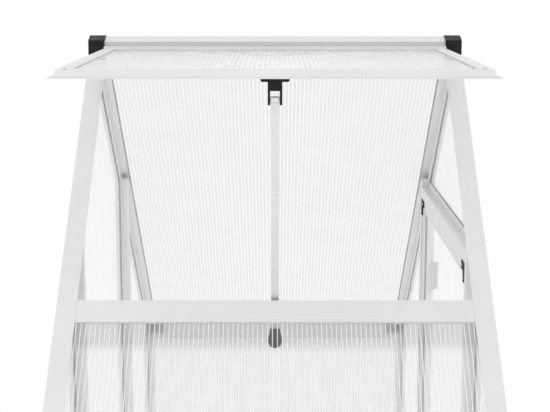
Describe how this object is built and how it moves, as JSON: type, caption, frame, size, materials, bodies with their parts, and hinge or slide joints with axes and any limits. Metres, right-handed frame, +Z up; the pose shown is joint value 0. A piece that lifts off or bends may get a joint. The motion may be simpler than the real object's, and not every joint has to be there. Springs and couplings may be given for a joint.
{
  "type": "greenhouse",
  "caption": "Small gable greenhouse: aluminium frame, twin-wall sheets, a full-width roof vent propped open by a stay, and a hinged gable door with a lever latch.",
  "frame": {"origin": "on the ground, at the centre of the four anchor holes and of the house's plan", "axes": "+X along the ridge towards the door gable, +Y across the house away from the vent, +Z up"},
  "size_m": [0.731, 1.9, 1.95],
  "materials": {
    "aluminium_bar": "satin mill finish",
    "ribbed_sheet": "clear twin-wall polycarbonate with ribs down the slope",
    "wall_sheet": "clear twin-wall polycarbonate",
    "black_plastic": "moulded, fine grain",
    "zinc_steel": "zinc plated"
  },
  "bodies": {
    "frame": {"base_sill_door": "aluminium_bar", "base_sill_front": "aluminium_bar", "base_sill_left": "aluminium_bar", "base_sill_rear": "aluminium_bar", "corner_post_front_left": "aluminium_bar", "corner_post_front_right": "aluminium_bar", "corner_post_rear_left": "aluminium_bar", "corner_post_rear_right": "aluminium_bar", "door_head": "aluminium_bar", "door_post_front": "aluminium_bar", "door_post_rear": "aluminium_bar", "eave_rail_front": "aluminium_bar", "eave_rail_rear": "aluminium_bar", "frame_bolts": "zinc_steel", "frame_brackets": "zinc_steel", "gable_post_front": "aluminium_bar", "gable_post_rear": "aluminium_bar", "gable_sheet_door_front": "wall_sheet", "gable_sheet_door_rear": "wall_sheet", "gable_sheet_left_centre": "wall_sheet", "gable_sheet_left_front": "wall_sheet", "gable_sheet_left_rear": "wall_sheet", "gable_sheet_over_door": "wall_sheet", "hinge_post_leaves": "zinc_steel", "rafter_front_left": "aluminium_bar", "rafter_front_right": "aluminium_bar", "rafter_rear_left": "aluminium_bar", "rafter_rear_right": "aluminium_bar", "ridge_bar": "aluminium_bar", "ridge_cap_left": "black_plastic", "ridge_cap_right": "black_plastic", "roof_sheet_front": "ribbed_sheet", "roof_sheet_rear": "ribbed_sheet", "stay_peg": "black_plastic", "vent_sill": "aluminium_bar", "wall_sheet_front": "wall_sheet", "wall_sheet_rear": "wall_sheet"},
    "vent": {"vent_hinge_rail": "aluminium_bar", "vent_side_left": "aluminium_bar", "vent_side_right": "aluminium_bar", "vent_front_bar": "aluminium_bar", "vent_sheet": "ribbed_sheet", "vent_screws": "zinc_steel", "stay_fork": "black_plastic", "stay_pin": "zinc_steel"},
    "stay": {"stay_bar": "aluminium_bar", "stay_grip": "black_plastic"},
    "door": {"door_corners": "black_plastic", "door_rail_bottom": "aluminium_bar", "door_rail_middle": "aluminium_bar", "door_rail_top": "aluminium_bar", "door_screws": "zinc_steel", "door_sheet_lower": "wall_sheet", "door_sheet_upper": "wall_sheet", "door_stile_hinge": "aluminium_bar", "door_stile_latch": "aluminium_bar", "hinge_door_leaves": "zinc_steel", "latch_rose": "black_plastic"},
    "latch": {"latch_lever": "black_plastic", "latch_cam": "zinc_steel"}
  },
  "joints": [
    {"name": "vent_hinge", "type": "hinge", "parent": "frame", "child": "vent", "pos_m": [0, -0.0238, 1.9205], "axis": [1, 0, 0], "range_deg": [0, 40]},
    {"name": "stay_swing", "type": "hinge", "parent": "vent", "child": "stay", "pos_m": [0, -0.5998, 1.8799], "axis": [1, 0, 0], "range_deg": [0, 67]},
    {"name": "door_hinge", "type": "hinge", "parent": "frame", "child": "door", "pos_m": [0.3655, 0.3465, 0.8], "axis": [0, 0, 1], "range_deg": [0, 165]},
    {"name": "latch_turn", "type": "hinge", "parent": "door", "child": "latch", "pos_m": [0.3501, -0.333, 1], "axis": [-1, 0, 0], "range_deg": [0, 90]}
  ]
}
